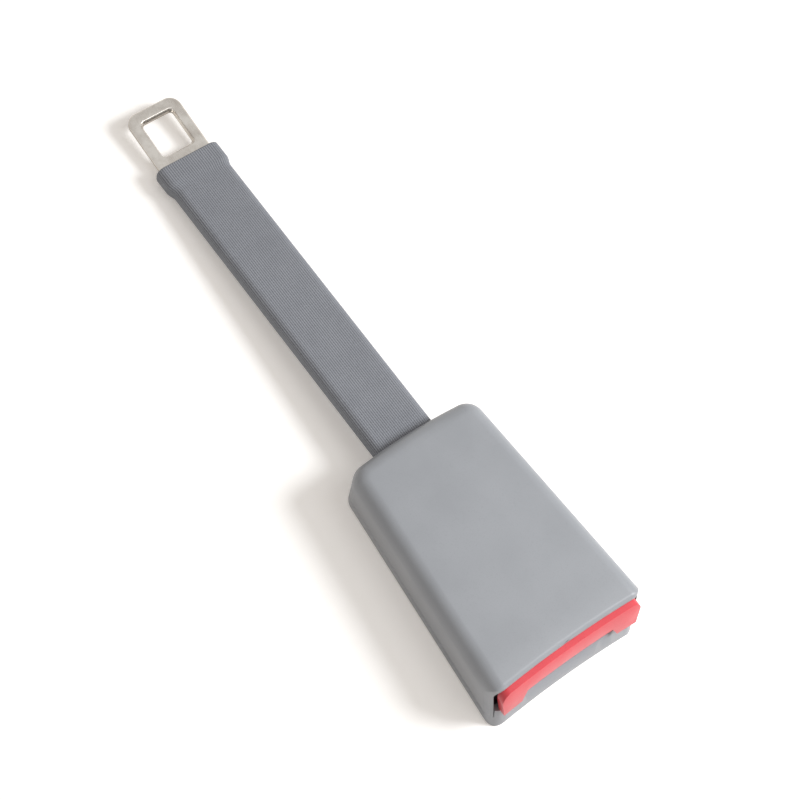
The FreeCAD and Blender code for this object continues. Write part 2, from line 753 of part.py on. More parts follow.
def latch_pivots():
    """Two stub rivets in the frame's walls that the latch turns on."""
    pieces = []
    for side in (1, -1):
        inner = V(num("pivot_place"), side * num("latch_arm_inner + seat_gap"), num(LATCH_Z))
        outer = V(num("pivot_place"), side * num(FRAME_OUTER), num(LATCH_Z))
        way = V(0, side, 0)
        stub = Part.makeCylinder(num("pivot_radius"),
                                 num(f"{FRAME_OUTER} - latch_arm_inner - seat_gap"), inner, way)
        head = Part.makeCylinder(num("pivot_head_radius"), num("pivot_head_height"), outer, way)
        pieces.append(stub.fuse(head).removeSplitter())
    return plain("latch_pivots", Part.makeCompound(pieces))


def spring_block():
    body = new_body("spring_block")
    sketch = sketch_on(body, "XZ_Plane")
    front = "(-block_rear + block_length)"
    outline(sketch, [("-block_rear", "deck_height"), (front, "deck_height"), (front, "block_top"),
                     ("(-block_rear + 2)", "block_top"), ("-block_rear", "(block_top - 2)")])
    pad(sketch, "2 * (frame_inner_half - fit_gap)", symmetric=True)
    sketch = sketch_on(body, "YZ_Plane", shift=f"{front} - 0.5")
    circle(sketch, "0", EJECTOR_AXIS, "peg_radius")
    pad(sketch, "peg_length + 0.5")
    return body


def ejector():
    """Slide that the tongue pushes back, whose side ramps hold the latch up while it is forward."""
    body = new_body("ejector")
    floor = "(deck_height + seat_gap)"
    ramp_end = "(latch_cross_rear + ejector_travel)"
    sketch = sketch_on(body, "XZ_Plane")
    outline(sketch, [("ejector_rear", floor), ("ejector_front", floor),
                     ("ejector_front", "ejector_low_top"), (ramp_end, "ejector_low_top"),
                     ("(latch_cross_rear + 0.3)", "ejector_high_top"),
                     ("ejector_rear", "ejector_high_top")])
    pad(sketch, "2 * ejector_half", symmetric=True)
    sketch = sketch_on(body, "XY_Plane")
    box(sketch, "ejector_fork_rear", "(ejector_front + 1)", "-ejector_fork_half",
        "ejector_fork_half")
    pocket(sketch, symmetric=True)
    fillet(body, "1.5", lambda edge, at: along(edge, V(0, 0, 1))
           and at.x > num("ejector_front") - 0.1)
    sketch = sketch_on(body, "YZ_Plane", shift="ejector_rear + 0.5")
    circle(sketch, "0", EJECTOR_AXIS, "peg_radius")
    pad(sketch, "peg_length + 0.5", reverse=True)
    return body


def latch_plate():
    """Drawn level, as it lies when it holds a tongue, then lifted about its pivot."""
    body = new_body("latch_plate")
    low = f"({LATCH_Z} - latch_thickness / 2)"
    high = f"({LATCH_Z} + latch_thickness / 2)"
    nose_low = "(deck_height - latch_nose_bite)"
    sketch = sketch_on(body, "XY_Plane", shift=low)
    outline(sketch, [
        ("pivot_place", f"-{LATCH_HALF}"), ("(latch_front - 4)", f"-{LATCH_HALF}"),
        ("latch_front", f"(-{LATCH_HALF} + 5)"), ("latch_front", f"({LATCH_HALF} - 5)"),
        ("(latch_front - 4)", LATCH_HALF), ("pivot_place", LATCH_HALF),
        ("pivot_place", "latch_arm_inner"), ("latch_cross_rear", "latch_arm_inner"),
        ("latch_cross_rear", "-latch_arm_inner"), ("pivot_place", "-latch_arm_inner")])
    pad(sketch, "latch_thickness")
    # Nose that drops into the tongue's window, its front face sloped to ride over a tongue
    sketch = sketch_on(body, "XZ_Plane")
    outline(sketch, [("(latch_front - latch_nose_length)", nose_low), ("(latch_front - 1)", nose_low),
                     ("latch_front", f"({nose_low} + 2.5)"), ("latch_front", f"({low} + 0.5)"),
                     ("(latch_front - latch_nose_length)", f"({low} + 0.5)")])
    pad(sketch, "latch_nose_width", symmetric=True)
    # Tabs that ride on the ejector's ramps
    sketch = sketch_on(body, "XY_Plane", shift=f"{low} - latch_tab_drop")
    mirrored_box(sketch, "latch_cross_rear", "(latch_cross_rear + latch_tab_length)",
                 "(ejector_half - latch_tab_width)", "ejector_half")
    pad(sketch, "latch_tab_drop + 0.5")
    # Knuckles round the pivots
    sketch = sketch_on(body, "XZ_Plane")
    circle(sketch, "pivot_place", LATCH_Z, "latch_knuckle_radius")
    pad(sketch, f"2 * {LATCH_HALF}", symmetric=True)
    sketch = sketch_on(body, "XZ_Plane")
    box(sketch, "(pivot_place - latch_knuckle_radius - 1)", "(latch_cross_rear)",
        f"({LATCH_Z} - latch_knuckle_radius - 1)", f"({LATCH_Z} + latch_knuckle_radius + 1)")
    pocket(sketch, "2 * latch_arm_inner", symmetric=True)
    sketch = sketch_on(body, "XZ_Plane")
    circle(sketch, "pivot_place", LATCH_Z, "pivot_radius + fit_gap")
    # Recess that the lock pin moves over when the button is pressed
    box(sketch, "(pin_place - button_travel - pin_radius - 1)", "(pin_place - 2)",
        f"({high} - latch_recess_depth)", f"({high} + 1)")
    pocket(sketch, symmetric=True)
    angle = -num("latch_lift")
    pivot = V(num("pivot_place"), 0, num(LATCH_Z))
    body.Placement = FreeCAD.Placement(V(), FreeCAD.Rotation(V(0, 1, 0), angle), pivot)
    return body


def lock_pin():
    half = "(arm_inner + arm_thickness + pin_overhang)"
    pin = doc.addObject("Part::Cylinder", "lock_pin")
    pin.Label = "lock_pin"
    pin.setExpression("Radius", bound("pin_radius"))
    pin.setExpression("Height", bound(f"2 * {half}"))
    pin.Placement = FreeCAD.Placement(V(), FreeCAD.Rotation(V(1, 0, 0), 90))
    pin.setExpression("Placement.Base.x", bound("pin_place"))
    pin.setExpression("Placement.Base.y", bound(half))
    pin.setExpression("Placement.Base.z", bound(PIN_HIGH))
    return pin


def lock_pin_clips():
    """Two spring clips at the ends of the lock pin."""
    pieces = []
    for side in (1, -1):
        start = V(num("pin_place"), side * num("arm_inner + arm_thickness + 0.2"), num(PIN_HIGH))
        way = V(0, side, 0)
        disc = Part.makeCylinder(num("clip_radius"), num("clip_thickness"), start, way)
        hole = Part.makeCylinder(num("pin_radius"), num("clip_thickness"), start, way)
        pieces.append(disc.cut(hole))
    return plain("lock_pin_clips", Part.makeCompound(pieces))


def coil_spring(name, start, way, length, radius, wire, turns):
    """A compression spring as short straight runs of a six-sided wire, eased in at both ends."""
    steps = 10
    side = way.cross(V(0, 0, 1)).normalize()
    up = side.cross(way).normalize()
    points = []
    for step in range(int(turns * steps) + 1):
        turned = 2 * math.pi * step / steps
        along_way = wire / 2 + (length - wire) * step / (turns * steps)
        points.append(start + way * along_way + side * (radius * math.cos(turned))
                      + up * (radius * math.sin(turned)))
    path = Part.makePolygon(points)
    heading = (points[1] - points[0]).normalize()
    across = (points[0] - start - way * (wire / 2)).normalize()
    other = heading.cross(across).normalize()
    corners = [points[0] + across * (wire / 2 * math.cos(math.pi / 3 * corner))
               + other * (wire / 2 * math.sin(math.pi / 3 * corner)) for corner in range(7)]
    ring = Part.makePolygon(corners)
    shape = path.makePipeShell([ring], True, False, 1)
    return plain(name, shape)


def ejector_spring():
    rear = num("-block_rear + block_length")
    front = num("ejector_rear")
    return coil_spring("ejector_spring", V(rear + 0.1, 0, num(EJECTOR_AXIS)), V(1, 0, 0),
                       front - rear - 0.2, num("ejector_spring_radius"),
                       num("ejector_spring_wire"), 8)


def button_springs():
    rear = num("-block_rear")
    front = num("arm_rear")
    for name, side in (("button_spring_left", 1), ("button_spring_right", -1)):
        start = V(rear + 0.1, side * num(ARM_MIDDLE), num("button_spring_height"))
        coil_spring(name, start, V(1, 0, 0), front - rear - 0.2, num("button_spring_radius"),
                    num("button_spring_wire"), 7)


def side_rails():
    """Plastic rails on the deck that keep a tongue and the ejector in line."""
    for name, sign in (("tongue_rail_left", ""), ("tongue_rail_right", "-")):
        body = new_body(name)
        inner = "(tongue_width / 2 + running_gap)"
        outer = "(frame_inner_half - fit_gap)"
        sketch = sketch_on(body, "XY_Plane", shift="deck_height")
        corners = [("rail_rear", inner), ("(frame_wall_front - 6)", inner),
                   ("frame_wall_front", f"({inner} + 1.2)"), ("frame_wall_front", outer),
                   ("rail_rear", outer)]
        if sign:
            corners = [(x, f"-{y}") for x, y in reversed(corners)]
        outline(sketch, corners)
        pad(sketch, "rail_height")


# Strip, sleeve and what lies inside the sleeve

def strip_bends():
    """Centre line of the strip: rear end, bend at the cover, bend at the sleeve's end, tip."""
    far_x = f"({SLEEVE_X} - sleeve_length * cos({DROOP}))"
    far_z = f"({STRIP_Z} - sleeve_length * sin({DROOP}))"
    tip_x = f"({far_x} - tongue_reach * cos(tongue_rise))"
    tip_z = f"({far_z} + tongue_reach * sin(tongue_rise))"
    return far_x, far_z, tip_x, tip_z


def tongue_strip():
    body = new_body("tongue_strip")
    far_x, far_z, tip_x, tip_z = strip_bends()
    half = "(strip_thickness / 2)"
    start = f"(-{FRAME_REAR} + 6)"
    first = f"({DROOP} / 2)"
    second = f"(({DROOP} - {RISE}) / 2)"
    near = f"({half} * tan({first}))"
    turn = f"({half} / cos(({DROOP} + {RISE}) / 2))"
    sketch = sketch_on(body, "XZ_Plane")
    outline(sketch, [
        (f"{tip_x} - {half} * sin(tongue_rise)", f"{tip_z} - {half} * cos(tongue_rise)"),
        (f"{far_x} + {turn} * sin({second})", f"{far_z} - {turn} * cos({second})"),
        (f"{SLEEVE_X} + {near}", f"{STRIP_Z} - {half}"),
        (start, f"{STRIP_Z} - {half}"), (start, f"{STRIP_Z} + {half}"),
        (f"{SLEEVE_X} - {near}", f"{STRIP_Z} + {half}"),
        (f"{far_x} - {turn} * sin({second})", f"{far_z} + {turn} * cos({second})"),
        (f"{tip_x} + {half} * sin(tongue_rise)", f"{tip_z} + {half} * cos(tongue_rise)")])
    pad(sketch, "tongue_width", symmetric=True)
    tip = num(tip_x)
    fillet(body, "strip_bend_radius",
           lambda edge, at: along(edge, V(0, 1, 0)) and num(far_x) - 1 < at.x < num(SLEEVE_X) + 1)
    fillet(body, "tongue_corner_radius",
           lambda edge, at: at.x < tip + 1 and along(edge, V(0, 0, 1)))
    # Window that a latch drops into, drawn from the tip in the tongue's own plane
    sketch = sketch_on(body, "XY_Plane")
    sketch.AttachmentOffset = FreeCAD.Placement(V(num(tip_x), 0, num(tip_z)),
                                                FreeCAD.Rotation(V(0, 1, 0), num("tongue_rise")))
    half_wide = "(window_width / 2)"
    near_y = f"({half_wide} - window_corner_radius)"
    low = "window_start"
    high = "(window_start + window_length)"
    outline(sketch, [
        (f"{low} + window_corner_radius", f"-{half_wide}"),
        (f"{high} - window_corner_radius", f"-{half_wide}", "window_corner_radius"),
        (high, f"-{near_y}"), (high, near_y, "window_corner_radius"),
        (f"{high} - window_corner_radius", half_wide),
        (f"{low} + window_corner_radius", half_wide, "window_corner_radius"),
        (low, near_y), (low, f"-{near_y}", "window_corner_radius")])
    pocket(sketch, symmetric=True)
    # Rivet holes in the strip's inner end
    sketch = sketch_on(body, "XY_Plane", shift=f"{STRIP_Z} + strip_thickness")
    for sign in ("", "-"):
        circle(sketch, f"(-{RIVET_X})", f"({sign}rivet_spread)", "rivet_radius + fit_gap")
    pocket(sketch, "2 * strip_thickness")
    # Coined bevel on the window's tip side, broken edges round the tip
    edge_x = num(f"{tip_x} + window_start * cos(tongue_rise)")
    base = (body.Tip, edge_names(body, lambda edge, at: along(edge, V(0, 1, 0))
                                 and abs(at.x - edge_x) < 0.6 and abs(at.y) < 1))
    bevel = body.newObject("PartDesign::Chamfer", "tongue_strip_bevel")
    bevel.Base = base
    bevel.ChamferType = "Two distances"
    bevel.FlipDirection = True
    bevel.setExpression("Size", bound("window_bevel_depth"))
    bevel.setExpression("Size2", bound("window_bevel"))
    doc.recompute()
    chamfer(body, "tongue_edge_break", lambda edge, at: at.x < tip + 0.4
            and along(edge, V(0, 1, 0)))
    return body


def strap_rivets():
    """Two rivets through the frame's tail, the washers under it and the strip."""
    pieces = []
    low = num("deck_height - frame_steel - washer_thickness")
    high = num("deck_height + strip_thickness")
    for side in (1, -1):
        place = V(-num(RIVET_X), side * num("rivet_spread"), low)
        shank = Part.makeCylinder(num("rivet_radius"), high - low, place)
        top = Part.makeCylinder(num("rivet_head_radius"), num("rivet_head_height"),
                                V(place.x, place.y, high))
        foot = Part.makeCylinder(num("rivet_head_radius - 0.8"), num("rivet_head_height"),
                                 V(place.x, place.y, low - num("rivet_head_height")))
        pieces.append(shank.fuse([top, foot]).removeSplitter())
    return plain("strap_rivets", Part.makeCompound(pieces))


def rivet_washers():
    pieces = []
    for side in (1, -1):
        place = V(-num(RIVET_X), side * num("rivet_spread"),
                  num("deck_height - frame_steel - washer_thickness"))
        disc = Part.makeCylinder(num("rivet_head_radius + 0.4"), num("washer_thickness"), place)
        hole = Part.makeCylinder(num("rivet_radius + fit_gap"), num("washer_thickness"), place)
        pieces.append(disc.cut(hole))
    return plain("rivet_washers", Part.makeCompound(pieces))


def in_sleeve(body):
    """Place a body drawn along the sleeve's own line: origin at its buckle end, droop towards -X."""
    body.Placement = FreeCAD.Placement(V(num(SLEEVE_X), 0, num(STRIP_Z)),
                                       FreeCAD.Rotation(V(0, 1, 0), -num(DROOP)))
    return body


def sleeve():
    body = new_body("sleeve")
    plain_end = "(sleeve_length - hem_length - hem_run_in)"
    sketch = sketch_on(body, "YZ_Plane")
    round_box(sketch, "(sleeve_width / 2)", "(sleeve_thickness / 2)", "sleeve_corner_radius")
    pad(sketch, plain_end, reverse=True)
    near = sketch_on(body, "YZ_Plane", shift=f"-{plain_end}")
    round_box(near, "(sleeve_width / 2)", "(sleeve_thickness / 2)", "sleeve_corner_radius")
    far = sketch_on(body, "YZ_Plane", shift="-(sleeve_length - hem_length)")
    round_box(far, "(hem_width / 2)", "(hem_thickness / 2)", "sleeve_corner_radius")
    loft(body, near, far)
    sketch = sketch_on(body, "YZ_Plane", shift="-(sleeve_length - hem_length)")
    round_box(sketch, "(hem_width / 2)", "(hem_thickness / 2)", "sleeve_corner_radius")
    pad(sketch, "hem_length", reverse=True)
    end = -num("sleeve_length") + 0.1
    chamfer(body, "hem_edge_break", lambda edge, at: at.x < end)
    sketch = sketch_on(body, "YZ_Plane", shift="1")
    round_box(sketch, "(sleeve_width / 2 - sleeve_wall)", "(sleeve_thickness / 2 - sleeve_wall)",
              "(sleeve_corner_radius - sleeve_wall)")
    pocket(sketch)
    return in_sleeve(body)


def sleeve_cores():
    """Two plastic channels that pad the strip out to the sleeve's thickness."""
    top = "(sleeve_thickness / 2 - sleeve_wall - seat_gap)"
    half = "(tongue_width / 2 + seat_gap + core_wall)"
    inner = "(tongue_width / 2 + seat_gap)"
    strip_top = "(strip_thickness / 2)"
    for name, sign in (("sleeve_core_upper", ""), ("sleeve_core_lower", "-")):
        body = new_body(name)
        sketch = sketch_on(body, "YZ_Plane", shift="-1")
        lip = "(seat_gap / 2)"
        cut = "(0.75 * (sleeve_corner_radius - sleeve_wall))"
        step = f"({half} - {cut})"
        corners = [(f"-{half}", lip), (f"-{inner}", lip), (f"-{inner}", strip_top),
                   (inner, strip_top), (inner, lip), (half, lip), (half, f"({top} - {cut})"),
                   (step, top), (f"-{step}", top), (f"-{half}", f"({top} - {cut})")]
        if sign:
            corners = [(y, f"-{z}") for y, z in reversed(corners)]
        outline(sketch, corners)
        pad(sketch, "sleeve_length - plug_length - plug_inset - 2", reverse=True)
        in_sleeve(body)


def sleeve_plug():
    """Plastic ring that the sleeve's hem closes on, round the strip at the tongue's end."""
    body = new_body("sleeve_plug")
    sketch = sketch_on(body, "YZ_Plane", shift="-(sleeve_length - plug_inset)")
    round_box(sketch, "(sleeve_width / 2 - sleeve_wall - seat_gap)",
              "(sleeve_thickness / 2 - sleeve_wall - seat_gap)",
              "(sleeve_corner_radius - sleeve_wall)")
    pad(sketch, "plug_length")
    sketch = sketch_on(body, "YZ_Plane", shift="0")
    round_box(sketch, "(tongue_width / 2 + seat_gap)", "(strip_thickness / 2 + seat_gap)", "0.3")
    pocket(sketch)
    return in_sleeve(body)


def strap_bush():
    """Plastic bush round the strip in the cover's rear opening, with a flange behind the wall."""
    body = new_body("strap_bush")
    start = f"({SLEEVE_X} + play + seat_gap)"
    half = f"({OPENING_HALF} - seat_gap)"
    rise = f"({OPENING_RISE} - seat_gap)"
    sketch = sketch_on(body, "YZ_Plane", shift=start)
    box(sketch, f"-{half}", half, f"({STRIP_Z} - {rise})", f"({STRIP_Z} + {rise})")
    pad(sketch, "bush_length")
    fillet(body, "sleeve_corner_radius", lambda edge, at: along(edge, V(1, 0, 0))
           and at.z > num(STRIP_Z))
    low = f"({STRIP_Z} - {OPENING_RISE} - bush_lip)"
    high = f"({STRIP_Z} + {OPENING_RISE} + bush_lip)"
    lip_half = f"({OPENING_HALF} + bush_lip)"
    flange = f"({cover_rear(low)} + cover_wall + rear_bow / 2 + seat_gap)"
    sketch = sketch_on(body, "YZ_Plane", shift=flange)
    box(sketch, f"-{lip_half}", lip_half, low, high)
    pad(sketch, "bush_flange")
    sketch = sketch_on(body, "YZ_Plane", shift=f"{SLEEVE_X} - 1")
    box(sketch, "-(tongue_width / 2 + seat_gap)", "(tongue_width / 2 + seat_gap)",
        "(deck_height - seat_gap)", "(deck_height + strip_thickness + seat_gap)")
    pocket(sketch, reverse=True)
    return body


upper_cover()
lower_cover()
cover_screws()
release_button()
buckle_frame()
latch_pivots()
spring_block()
ejector()
ejector_spring()
button_springs()
latch_plate()
lock_pin()
lock_pin_clips()
side_rails()
tongue_strip()
strap_rivets()
rivet_washers()
sleeve()
sleeve_cores()
sleeve_plug()
strap_bush()
doc.recompute()

NODES = [
    "upper_cover", "lower_cover", "cover_screws", "release_button", "button_spring_left",
    "button_spring_right", "buckle_frame", "latch_pivots", "spring_block", "ejector",
    "ejector_spring", "latch_plate", "lock_pin", "lock_pin_clips", "tongue_rail_left",
    "tongue_rail_right", "tongue_strip", "strap_rivets", "rivet_washers", "sleeve",
    "sleeve_core_upper", "sleeve_core_lower", "sleeve_plug", "strap_bush",
]

for item in doc.Objects:
    if "Invalid" in item.State or "Error" in item.State:
        raise ValueError(f"{item.Label} failed: {item.State}")

os.makedirs("parts", exist_ok=True)
for name in NODES:
    item = doc.getObjectsByLabel(name)[0]
    shape = item.Shape
    if shape.isNull() or not shape.isValid() or not shape.Solids:
        raise ValueError(f"{name} has no sound shape")
    shape.exportStep(f"parts/{name}.step")
    print(f"{name}: {len(shape.Solids)} solids, {shape.Volume:.1f} mm3")
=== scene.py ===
import math

import bmesh
import bpy
import numpy as np
from mathutils import Matrix, Vector

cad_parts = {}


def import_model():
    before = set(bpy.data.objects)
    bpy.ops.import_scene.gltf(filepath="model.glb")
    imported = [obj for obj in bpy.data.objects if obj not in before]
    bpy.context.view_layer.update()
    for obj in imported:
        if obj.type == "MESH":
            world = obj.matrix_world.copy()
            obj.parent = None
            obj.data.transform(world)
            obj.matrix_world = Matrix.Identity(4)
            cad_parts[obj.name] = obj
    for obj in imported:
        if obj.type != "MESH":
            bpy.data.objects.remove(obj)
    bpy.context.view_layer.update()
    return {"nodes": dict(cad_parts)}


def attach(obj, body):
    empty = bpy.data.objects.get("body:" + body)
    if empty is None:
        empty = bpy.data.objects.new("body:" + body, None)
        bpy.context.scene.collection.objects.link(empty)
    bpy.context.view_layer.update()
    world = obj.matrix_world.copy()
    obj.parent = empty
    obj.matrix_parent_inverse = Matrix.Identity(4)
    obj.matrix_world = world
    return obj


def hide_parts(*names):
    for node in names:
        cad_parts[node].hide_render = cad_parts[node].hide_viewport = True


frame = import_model()
MM = 0.001


# Camera: the photograph's viewpoint, fitted to the object's outlines

CAMERA_PLACE = (85.29, -222.04, 590.91)  # mm
CAMERA_RIGHT = (0.58328, 0.79376, 0.17242)
CAMERA_DOWN = (0.78146, -0.49045, -0.38572)
CAMERA_LOOK = (-0.22161, 0.35972, -0.90636)
FOCAL_PIXELS = 1868.9
PICTURE_PIXELS = 800
SENSOR = 36.0  # mm


def place_camera():
    data = bpy.data.cameras.new("camera")
    data.sensor_width = SENSOR
    data.lens = SENSOR * FOCAL_PIXELS / PICTURE_PIXELS
    data.clip_start = 0.01
    data.clip_end = 20
    camera = bpy.data.objects.new("camera", data)
    turn = Matrix((Vector(CAMERA_RIGHT), -Vector(CAMERA_DOWN), -Vector(CAMERA_LOOK)))
    place = Matrix.Translation(Vector(CAMERA_PLACE) * MM)
    camera.matrix_world = place @ turn.transposed().to_4x4()
    bpy.context.scene.collection.objects.link(camera)
    bpy.context.scene.camera = camera


# Material building blocks

def srgb(red, green, blue):
    """A colour given as 0 to 255 on the screen, as Blender's linear one."""
    parts = []
    for value in (red, green, blue):
        value = value / 255
        parts.append(value / 12.92 if value <= 0.04045 else ((value + 0.055) / 1.055) ** 2.4)
    return (*parts, 1.0)


class Look:
    """One node material: the shader, and short calls that add nodes to it."""

    def __init__(self, name, metallic=0.0, roughness=0.5, **sockets):
        self.material = bpy.data.materials.new(name)
        self.material.use_nodes = True
        self.tree = self.material.node_tree
        self.shader = self.tree.nodes["Principled BSDF"]
        self.shader.inputs["Metallic"].default_value = metallic
        self.shader.inputs["Roughness"].default_value = roughness
        for socket, value in sockets.items():
            self.shader.inputs[socket.replace("_", " ")].default_value = value
        self.place = self.add("ShaderNodeTexCoord").outputs["Object"]

    def add(self, kind, **inputs):
        node = self.tree.nodes.new(kind)
        for name, value in inputs.items():
            self.feed(node.inputs[name.replace("_", " ")], value)
        return node

    def feed(self, socket, value):
        if isinstance(value, bpy.types.NodeSocket):
            self.tree.links.new(value, socket)
        else:
            socket.default_value = value

    def math(self, operation, first, second):
        node = self.tree.nodes.new("ShaderNodeMath")
        node.operation = operation
        self.feed(node.inputs[0], first)
        self.feed(node.inputs[1], second)
        return node.outputs[0]

    def stretched(self, along):
        """The place with its x scaled, so that features run along the part."""
        node = self.add("ShaderNodeMapping", Vector=self.place)
        node.inputs["Scale"].default_value = (along, 1.0, 1.0)
        return node.outputs["Vector"]

    def noise(self, size, detail=2.0, rough=0.5, place=None):
        """Noise whose features are about size metres across."""
        node = self.add("ShaderNodeTexNoise", Vector=place or self.place, Scale=1 / size,
                        Detail=detail, Roughness=rough)
        return node.outputs["Fac"]

    def ramp(self, value, low, high, start=0.0, end=1.0):
        """From start to end while the value goes from low to high."""
        node = self.tree.nodes.new("ShaderNodeMapRange")
        self.feed(node.inputs["Value"], value)
        for name, number in (("From Min", low), ("From Max", high), ("To Min", start),
                             ("To Max", end)):
            node.inputs[name].default_value = number
        return node.outputs["Result"]

    def blend(self, share, first, second):
        node = self.tree.nodes.new("ShaderNodeMix")
        node.data_type = "RGBA"
        self.feed(node.inputs[0], share)
        self.feed(node.inputs[6], first)
        self.feed(node.inputs[7], second)
        return node.outputs[2]

    def colour(self, value):
        self.feed(self.shader.inputs["Base Color"], value)

    def roughness(self, value):
        self.feed(self.shader.inputs["Roughness"], value)

    def bump(self, height, distance, strength=1.0, under=None):
        """Relief of a depth in metres, over the relief under it if there is one."""
        node = self.add("ShaderNodeBump", Height=height, Distance=distance, Strength=strength)
        if under is not None:
            self.feed(node.inputs["Normal"], under)
        self.feed(self.shader.inputs["Normal"], node.outputs["Normal"])
        return node.outputs["Normal"]


def moulded(name, colour, shade, rough, grain=0.00035, depth=0.00002):
    """Satin moulded plastic: fine spark-eroded grain, faint cloudiness, handled spots."""
    look = Look(name, roughness=rough)
    cloud = look.noise(size=0.018, detail=3.0)
    fleck = look.noise(size=grain * 1.3, detail=1.0)
    tone = look.blend(look.ramp(cloud, 0.35, 0.65), colour, shade)
    dark = tuple(part * 0.93 for part in shade[:3]) + (1.0,)
    look.colour(look.blend(look.ramp(fleck, 0.55, 0.75, end=0.55), tone, dark))
    wiped = look.noise(size=0.011, detail=4.0, rough=0.6, place=look.stretched(0.5))
    look.roughness(look.ramp(wiped, 0.3, 0.7, start=rough - 0.05, end=rough + 0.07))
    look.bump(look.noise(size=grain), distance=depth)
    return look.material


def metal(name, colour, shade, rough, spots=0.004):
    """Bare metal: patches of a second tone, and fine scratches along the part."""
    look = Look(name, metallic=1.0, roughness=rough)
    patch = look.noise(size=spots, detail=4.0, rough=0.6)
    look.colour(look.blend(look.ramp(patch, 0.35, 0.7), colour, shade))
    scratch = look.noise(size=0.0006, detail=3.0, rough=0.7, place=look.stretched(0.08))
    worn = look.math("ADD", look.ramp(scratch, 0.3, 0.75, start=rough - 0.06, end=rough + 0.1),
                     look.ramp(patch, 0.4, 0.7, end=0.06))
    look.roughness(worn)
    look.bump(scratch, distance=0.000004)
    return look.material


def woven(name):
    """Seat belt webbing: ribs along the strap, painted shade between them, fine picks across
    them.

    The sleeve's mesh carries the height of its ribs as the attribute rib, for the painted shade."""
    look = Look(name, roughness=0.82, Sheen_Weight=0.25, Sheen_Roughness=0.45)
    ribs = look.tree.nodes.new("ShaderNodeAttribute")
    ribs.attribute_name = "rib"
    height = ribs.outputs["Fac"]
    yarn = look.noise(size=0.00045, detail=3.0, rough=0.6, place=look.stretched(0.6))
    cloud = look.noise(size=0.009, detail=3.0)
    crown = look.blend(look.ramp(cloud, 0.3, 0.7), srgb(158, 161, 168), srgb(150, 153, 160))
    # Painted shade: the valley colour is the darker colour put between the ribs, and tone runs
    # from it up to the crown with the rib height.
    valley_painted_shade = srgb(98, 101, 108)
    fluff = srgb(168, 171, 178)
    tone = look.blend(look.ramp(height, 0.05, 0.8), valley_painted_shade, crown)
    look.colour(look.blend(look.ramp(yarn, 0.5, 0.8, end=0.35), tone, fluff))
    pick = 0.0011
    bands = 1 / pick / 6.2832 * 2  # about one band to a pick
    picks = look.add("ShaderNodeTexWave", Vector=look.place, Scale=bands, Distortion=0.6,
                     Detail=1.0)
    picks.wave_type = "BANDS"
    picks.bands_direction = "X"
    first = look.bump(picks.outputs["Fac"], distance=0.00006, strength=0.6)
    look.bump(yarn, distance=0.00005, strength=0.7, under=first)
    return look.material


COVER = moulded("cover_plastic", srgb(161, 164, 169), srgb(156, 159, 164), rough=0.38)
BUTTON = moulded("button_plastic", srgb(230, 74, 84), srgb(222, 66, 76), rough=0.33,
                 grain=0.0005, depth=0.000012)
INNER = moulded("inner_plastic", srgb(46, 47, 50), srgb(38, 39, 42), rough=0.5, grain=0.0004)
FRAME_STEEL = metal("frame_steel", srgb(176, 176, 172), srgb(148, 149, 148), rough=0.38)
SPRING_STEEL = metal("spring_steel", srgb(150, 150, 152), srgb(120, 120, 124), rough=0.3,
                     spots=0.001)
SCREW_STEEL = metal("screw_steel", srgb(92, 92, 96), srgb(66, 66, 70), rough=0.36,
                    spots=0.0015)
NICKEL = metal("tongue_nickel", srgb(202, 197, 190), srgb(172, 165, 157), rough=0.2,
               spots=0.006)
FABRIC = woven("woven_fabric")

NODES_OF = {
    COVER: ["upper_cover", "lower_cover"],
    BUTTON: ["release_button"],
    INNER: ["spring_block", "ejector", "tongue_rail_left", "tongue_rail_right",
            "sleeve_core_upper", "sleeve_core_lower", "sleeve_plug", "strap_bush"],
    FRAME_STEEL: ["buckle_frame", "latch_plate", "strap_rivets", "rivet_washers",
                  "latch_pivots", "lock_pin"],
    SPRING_STEEL: ["button_spring_left", "button_spring_right", "ejector_spring",
                   "lock_pin_clips"],
    SCREW_STEEL: ["cover_screws"],
    NICKEL: ["tongue_strip"],
    FABRIC: ["sleeve"],
}


def dress(mesh, material):
    mesh.materials.clear()
    mesh.materials.append(material)


for material, nodes in NODES_OF.items():
    for node in nodes:
        dress(frame["nodes"][node].data, material)


# Pieces with the moulded and stamped edges that the plain solids leave sharp

def add_piece(name, mesh, material, body):
    piece = bpy.data.objects.new(name, mesh)
    bpy.context.scene.collection.objects.link(piece)
    dress(mesh, material)
    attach(piece, body)
    return piece


# The buckle's mouth and sides as the covers have them, in mm
COVER_END = 43.8  # where the middle of the mouth meets the top
COVER_HEIGHT = 25
SEAM_HEIGHT = 6
MOUTH_SLANT = math.radians(17.3)
MOUTH_DEPTH = COVER_END * math.cos(MOUTH_SLANT) + COVER_HEIGHT * math.sin(MOUTH_SLANT)
BOW_RADIUS = 440.7
SIDE = (28.242, 0.0673, 0.05241)  # half the width at the origin, and its growth with x and z
TOP_SLOPE = 0.0228
TOP_FROM = 20  # above this height the top's slope comes in

# The roundings of the mouth and how finely the covers are divided for them, in mm
CORNER = 6.0
CORNER_CUTS = 12
LOW_EDGE = 1.7
LOW_EDGE_CUTS = 6
CUTS_ACROSS = range(-26, 27, 2)
FIRST_CUT = 1.5  # the front is parted from the rest this far behind the corners
FRONT_REACH = CORNER + 1.6  # faces that lie within this depth are the front
PUSH_REACH = CORNER + 0.5  # points that lie within this depth may be moved
ON_MOUTH = 0.2  # points this near to the mouth's face belong to it
CLAMPED_BELOW = 1  # a wider rounding isn't clamped: short edges beside it would shrink it

# Tolerances in metres: of a cut, and for joining points of the solids and of the roundings
CUT_NEAR = 1e-7
JOIN_SOLID = 2e-6
JOIN_ROUNDED = 4e-6

FLAT_ANGLE = math.radians(0.5)
SMOOTH_ANGLE = math.radians(30)
SHARP_ANGLE = math.radians(35)


